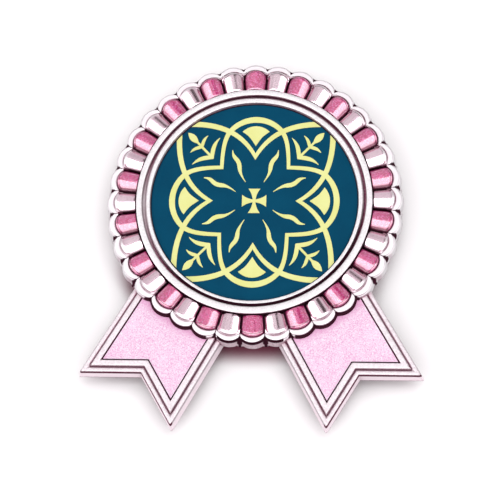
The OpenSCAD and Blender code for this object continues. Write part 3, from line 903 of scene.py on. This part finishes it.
def plated_metal():
    n = MaterialNodes("plated_metal")
    painted_shade = n.painted_shade()
    _, radius, height = n.split(n.around())
    cloud = n.noise(0.35, 3)
    fine = n.noise(9, 3)
    speck = n.noise(4, 2, shift=(3, 1, 7))
    streak = n.noise(1, 3, polar=(6, 0.5))
    polished = n.blend(n.span(cloud, 0.35, 0.65), POLISHED, POLISHED_DIM)
    polished = n.blend(n.span(speck, 0.55, 0.75, 0, 0.45), polished, POLISHED_SPECK)
    on_pleat = n.times(n.span_mm(radius, RING_R - 0.05, RING_R + 0.05),
                       n.span_mm(radius, PLEAT_END_R - 0.5, PLEAT_END_R - 0.15, 1, 0))
    colour = n.blend(on_pleat, satin_colour(n, radius, height), polished)
    # Painted shade: corners are darkened, and where the painted shade on the points is high the metal is
    # painted dark, maroon on the tails.
    colour = n.blend(corner_shade(n, painted_shade, speck), colour, CORNER_SHADE)
    painted_shade_share = n.span(n.times(painted_shade, n.span(fine, 0.25, 0.75, 0.88, 1.1)), 0.2, 0.8)
    colour = n.blend(painted_shade_share, colour, n.blend(n.span_mm(radius, *TAIL_LOOK), PAINTED_SHADE_DARK, PAINTED_SHADE_DARK_TAIL))
    rough = n.math("ADD", n.span(on_pleat, 0, 1, 0.6, 0.16), n.span(cloud, 0.3, 0.7, 0, 0.06))
    rough = n.math("ADD", rough, n.times(painted_shade_share, 0.35))
    normal = n.bump(fine, 0.006, 0.5)
    normal = n.bump(cloud, 0.05, 0.4, normal)
    normal = n.bump(streak, 0.01, 0.6, normal)
    return n.set(Base_Color=colour, Metallic=1.0, Roughness=rough, Normal=normal, Specular_Tint=colour)


def pleat_enamel():
    """Clear pink enamel under a glaze, with flakes that each look their own way, painted glints and painted
    shade at its edges.
    """
    pink, pink_light, pink_streak = matt(204, 2, 104), matt(220, 14, 124), matt(236, 80, 160)
    flake_light, flake_dark, flake_glint = matt(252, 130, 200), matt(150, 4, 70), matt(255, 190, 228)
    edge_shade_pink = matt(140, 10, 66)
    n = MaterialNodes("pleat_enamel")
    flakes = n.cells(10)
    cloud = n.noise(0.9, 3)
    streak = n.noise(1, 3, polar=(5, 1.2))
    fine = n.noise(7, 3)
    sparkle = n.noise(11, 2, shift=(4, 4, 2))
    painted_shade = n.painted_shade()
    tilt = n.vector("MULTIPLY", n.vector("SUBTRACT", flakes, (0.5, 0.5, 0.5)), (0.6, 0.6, 0.6))
    normal = n.vector("NORMALIZE", n.vector("ADD", n.normal(), tilt))
    flake_red, flake_green, _ = n.split(flakes)
    colour = n.blend(n.span(cloud, 0.3, 0.7), pink, pink_light)
    colour = n.blend(n.span(streak, 0.55, 0.75, 0, 0.3), colour, pink_streak)
    colour = n.blend(n.span(flake_red, 0.7, 0.95, 0, 0.8), colour, flake_light)
    colour = n.blend(n.span(flake_green, 0.75, 1, 0, 0.6), colour, flake_dark)
    # Painted glints: small bright pink dots on the glitter.
    colour = n.blend(n.span(sparkle, 0.57, 0.68, 0, 0.75), colour, flake_glint)
    # Painted shade: the enamel's edges are painted a deeper pink, then dark.
    colour = n.blend(n.span(painted_shade, 0, 0.7), colour, edge_shade_pink)
    colour = n.blend(n.span(painted_shade, 0.5, 0.95), colour, PAINTED_SHADE_DARK)
    coat = n.bump(fine, 0.006, 0.5)
    coat = n.bump(streak, 0.012, 0.5, coat)
    glaze = n.span(painted_shade, 0.3, 0.9, 1, 0.1)
    return n.set(Base_Color=colour, Metallic=0.25, Roughness=0.4, Normal=normal, Coat_Weight=glaze,
                 Coat_Roughness=0.08, Coat_IOR=2.4, Coat_Normal=coat)


def tail_enamel():
    """Pale pearly enamel with a fine grain, pinker next to the rosette, where the enamel lies deeper and has
    painted shade.
    """
    pale, pale_light, pearl = matt(239, 173, 212), matt(252, 223, 241), matt(252, 222, 244)
    flake_light, flake_pink, near_shade_pink = matt(255, 246, 252), matt(226, 150, 200), matt(232, 140, 192)
    n = MaterialNodes("tail_enamel")
    grain = n.noise(7, 4, 0.7)
    cloud = n.noise(0.5, 3)
    flake_red, flake_green, _ = n.split(n.cells(11))
    near = n.span_mm(n.distance(n.place, MIDDLE_M), 17.7, 19, 1, 0)
    colour = n.blend(n.span(grain, 0.38, 0.62), pale, pale_light)
    colour = n.blend(n.span(cloud, 0.35, 0.7, 0, 0.4), colour, pearl)
    colour = n.blend(n.span(flake_red, 0.7, 1, 0, 0.8), colour, flake_light)
    colour = n.blend(n.span(flake_green, 0.75, 1, 0, 0.7), colour, flake_pink)
    # Pinker next to the rosette: partly deeper enamel, partly painted shade.
    colour = n.blend(n.times(near, 0.6), colour, near_shade_pink)
    # Painted shade at the field's edges.
    colour = n.blend(n.span(n.painted_shade(), 0.1, 0.8), colour, PAINTED_SHADE_DARK)
    return n.set(Base_Color=colour, Metallic=0.0, Roughness=0.35, Specular_IOR_Level=0.2,
                 Normal=n.bump(grain, 0.012, 0.6), Coat_Weight=0.2, Coat_Roughness=0.15)


def printed(name, colours, clouds, grain_per_mm, grain_from, shine):
    """A smooth printed face in a colour, with soft clouds of a second one and a fine grain of a third."""
    n = MaterialNodes(name)
    grain = n.noise(grain_per_mm, 2)
    first, second, third = colours
    colour = n.blend(n.span(n.noise(*clouds), 0.3, 0.7), first, second)
    colour = n.blend(n.span(grain, grain_from, 0.7, 0, 0.3), colour, third)
    return n.set(Base_Color=colour, Metallic=0.0, Roughness=0.6, Specular_IOR_Level=shine,
                 Normal=n.bump(grain, 0.002, 0.3))


TEAL = [matt(1, 64, 92), matt(2, 71, 100), matt(6, 79, 110)]
PALE_YELLOW = [matt(231, 225, 145), matt(237, 232, 160), matt(224, 218, 138)]


def pin_metal():
    steel, steel_dim, steel_line = rgb(214, 208, 212), rgb(192, 186, 190), rgb(168, 160, 166)
    n = MaterialNodes("pin_metal")
    brushed = n.noise(1.2, 4, stretch=(0.04, 1, 1))
    cloud = n.noise(0.3, 3)
    colour = n.blend(n.span(cloud, 0.3, 0.7), steel, steel_dim)
    colour = n.blend(n.span(brushed, 0.4, 0.7, 0, 0.35), colour, steel_line)
    rough = n.span(brushed, 0.3, 0.7, 0.22, 0.36)
    return n.set(Base_Color=colour, Metallic=1.0, Roughness=rough, Normal=n.bump(brushed, 0.01, 0.4))


MATERIALS = {
    "plated_metal": plated_metal(), "pleat_enamel": pleat_enamel(), "tail_enamel": tail_enamel(),
    "insert": printed("insert", TEAL, (0.25, 4), grain_per_mm=14, grain_from=0.4, shine=0.03),
    "print": printed("print", PALE_YELLOW, (0.4, 3), grain_per_mm=12, grain_from=0.45, shine=0.05),
    "pin_metal": pin_metal()}


def dress(piece, slot, *nodes):
    piece.data.materials.clear()
    piece.data.materials.append(MATERIALS[slot])
    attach(piece, "root")
    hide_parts(*nodes)


dress(build_casting(), "plated_metal", "casting")
RNG = np.random.default_rng(7)
for number in range(1, PLEATS // 2 + 1):
    node = f"pleat_enamel_{number:02d}"
    dress(build_pleat_enamel(f"glazed_pleat_{number:02d}", number, RNG), "pleat_enamel", node)
for side, where in ((-1, "left"), (1, "right")):
    dress(build_tail_enamel(f"glazed_tail_{where}", side), "tail_enamel", f"tail_enamel_{where}")
dress(build_insert(), "insert", "insert_disc")
dress(build_pin_bar(), "pin_metal", "pin_back")
NODES["ornament"].data.materials.clear()
NODES["ornament"].data.materials.append(MATERIALS["print"])

# The floor looks white. Its side is in metres; the shades' places are in millimetres.
FLOOR_R = 2.0
FLOOR_COLOUR, FLOOR_SHADE = (0.412, 0.42, 0.415, 1), (0.05, 0.004, 0.015, 1)
FOOT_SHADE = (0.085, 0.009, 0.026, 1)
SHADE_REACH = 4.2


def floor_material():
    """White, with a dark shade close to the brooch, and one along the rosette's lower left and middle."""
    n = MaterialNodes("floor")
    _, radius, _ = n.split(n.around())
    x, y, _ = n.split(n.place)
    shade = n.span(n.open_above(SHADE_REACH), 0.3, 0.85, 1, 0)
    shade = n.times(shade, n.span_mm(radius, 18.5, 21, 1, 0.35))
    foot_shade = n.times(n.span_mm(radius, 16.9, 19.8, 0.92, 0), n.span_mm(y, -5, 0, 1, 0))
    foot_shade = n.times(foot_shade, n.span_mm(x, 8, 14, 1, 0))
    colour = n.blend(foot_shade, n.blend(shade, FLOOR_COLOUR, FLOOR_SHADE), FOOT_SHADE)
    return n.set(Base_Color=colour, Roughness=0.9, Specular_IOR_Level=0.0)


floor_mesh = bpy.data.meshes.new("floor")
floor_corners = [(x * FLOOR_R, y * FLOOR_R, 0) for x, y in ((-1, -1), (1, -1), (1, 1), (-1, 1))]
floor_mesh.from_pydata(floor_corners, [], [(0, 1, 2, 3)])
floor_mesh.materials.append(floor_material())
floor = bpy.data.objects.new("floor", floor_mesh)
bpy.context.scene.collection.objects.link(floor)


def glow(level, green, blue):
    """Light of a strength, with its green and blue as shares of its red."""
    return (level, level * green, level * blue, 1)


def sin_deg(a):
    return math.sin(math.radians(a))


# A tent that is bright overhead, dimmer at the back, and dim and pink low in front, with two brighter panels
# at the back and a dark gap beside them. Edges are sines: of heights, or of angles from straight behind.
TENT_LOW, TENT_HIGH, TENT_FRONT = glow(2.2, 0.93, 0.97), glow(4.0, 0.93, 0.97), glow(0.6, 0.6, 0.72)
CLOTH, CLOTH_LIGHT = glow(0.62, 0.76, 0.86), glow(0.82, 0.82, 0.89)
WIDE_PANEL, PANEL, DARK_GAP = glow(0.72, 0.79, 0.88), glow(0.9, 0.82, 0.9), glow(0.03, 0.3, 0.45)
BACK_FROM, BACK_TO, BACK_BEND = -0.02, 0.1, -0.22
PANEL_LEFT, PANEL_RIGHT, WIDE_PANEL_RIGHT = (-0.36, -0.3), (-0.12, -0.04), (0.05, 0.2)
GAP_LEFT, GAP_RIGHT = (0.18, 0.26), (0.6, 0.7)
GAP_LOW, GAP_HIGH, GAP_SOFT = 35, 66, 3

world = bpy.data.worlds.new("studio")
bpy.context.scene.world = world
sky = Nodes(world)
direction = sky.add("ShaderNodeTexCoord").outputs["Generated"]
dx, dy, dz = sky.split(direction)
flat_length = sky.math("POWER", sky.math("ADD", sky.times(dx, dx), sky.times(dy, dy)), 0.5)
sideways = sky.math("DIVIDE", dx, flat_length)

tent = sky.blend(sky.span(dz, 0, sin_deg(65)), TENT_LOW, TENT_HIGH)
low_front = sky.times(sky.span(dz, sin_deg(20), sin_deg(40), 1, 0), sky.span(dy, -0.45, -0.2, 1, 0))
tent = sky.blend(low_front, tent, TENT_FRONT)
folds = sky.add("ShaderNodeTexNoise", {"Vector": direction, "Scale": 3.5, "Detail": 2.0}).outputs["Fac"]
back = sky.blend(sky.span(folds, 0.35, 0.65), CLOTH, CLOTH_LIGHT)
back = sky.blend(sky.window(sideways, PANEL_LEFT, WIDE_PANEL_RIGHT), back, WIDE_PANEL)
back = sky.blend(sky.window(sideways, PANEL_LEFT, PANEL_RIGHT), back, PANEL)
bent = sky.math("ADD", dy, sky.times(sky.times(sideways, sideways), BACK_BEND))
lights = sky.blend(sky.span(bent, BACK_FROM, BACK_TO), tent, back)
gap_bottom = (sin_deg(GAP_LOW - GAP_SOFT), sin_deg(GAP_LOW + GAP_SOFT))
gap_top = (sin_deg(GAP_HIGH - GAP_SOFT), sin_deg(GAP_HIGH + GAP_SOFT))
gap = sky.times(sky.window(dz, gap_bottom, gap_top), sky.window(sideways, GAP_LEFT, GAP_RIGHT))
gap = sky.times(gap, sky.span(dy, 0, 0.2))
background = sky.tree.nodes["Background"]
sky.put(background.inputs["Color"], sky.blend(gap, lights, DARK_GAP))
background.inputs["Strength"].default_value = 1.0


def way(turn, tilt):
    """Direction that leans away from straight up by tilt, towards turn; both in degrees."""
    lean = math.sin(deg(tilt))
    return np.array([math.sin(deg(turn)) * lean, math.cos(deg(turn)) * lean, math.cos(deg(tilt))])


# A large lamp above the back makes the soft shadows; mirror-like faces don't show it. Its size is in metres.
LAMP_SIZE, LAMP_FAR, LAMP_TILT, LAMP_TURN, LAMP_POWER = 0.45, 0.6, 14, 42, 3.0
lamp_data = bpy.data.lights.new("lamp", "AREA")
lamp_data.shape = "DISK"
lamp_data.size = LAMP_SIZE
lamp_data.energy = LAMP_POWER
lamp_data.color = (0.97, 1.0, 0.99)
lamp = bpy.data.objects.new("lamp", lamp_data)
lamp.visible_glossy = False
lamp_way = Vector(way(LAMP_TURN, LAMP_TILT).tolist())
lamp.location = lamp_way * LAMP_FAR
lamp.rotation_euler = lamp_way.to_track_quat("Z", "Y").to_euler()
bpy.context.scene.collection.objects.link(lamp)

view = bpy.context.scene.view_settings
view.view_transform = "Standard"
view.look = "None"
view.exposure = 0
view.gamma = 1

# The camera stands over the tails' side; the numbers come from fitting the part's outline to the photograph.
CAMERA_TURN, CAMERA_TILT, CAMERA_ROLL = 4.6, 18.85, 1.75
CAMERA_FAR = 205.0
PIXELS_PER_MM = 8.185
PICTURE = 500
CENTRE_PIXEL = np.array([255.6, 207.95])
SENSOR = 36.0
away = np.array([math.sin(deg(CAMERA_TURN)) * math.cos(deg(CAMERA_TILT)), -math.sin(deg(CAMERA_TILT)),
                 math.cos(deg(CAMERA_TURN)) * math.cos(deg(CAMERA_TILT))])
right = np.cross(-away, (0, 1, 0))
right /= np.linalg.norm(right)
up = np.cross(right, -away)
roll = deg(CAMERA_ROLL)
right, up = math.cos(roll) * right + math.sin(roll) * up, -math.sin(roll) * right + math.cos(roll) * up
eye = CENTRE + CAMERA_FAR * away
camera_data = bpy.data.cameras.new("camera")
camera_data.sensor_fit = "HORIZONTAL"
camera_data.sensor_width = SENSOR
camera_data.lens = PIXELS_PER_MM * CAMERA_FAR / PICTURE * SENSOR
camera_data.shift_x = 0.5 - CENTRE_PIXEL[0] / PICTURE
camera_data.shift_y = CENTRE_PIXEL[1] / PICTURE - 0.5
camera_data.clip_start = 0.005
camera_data.clip_end = 20
camera_data.dof.use_dof = False
camera = bpy.data.objects.new("camera", camera_data)
placed = Matrix(np.column_stack([right, up, away]).tolist()).to_4x4()
placed.translation = Vector((eye * M_PER_MM).tolist())
camera.matrix_world = placed
bpy.context.scene.collection.objects.link(camera)
bpy.context.scene.camera = camera
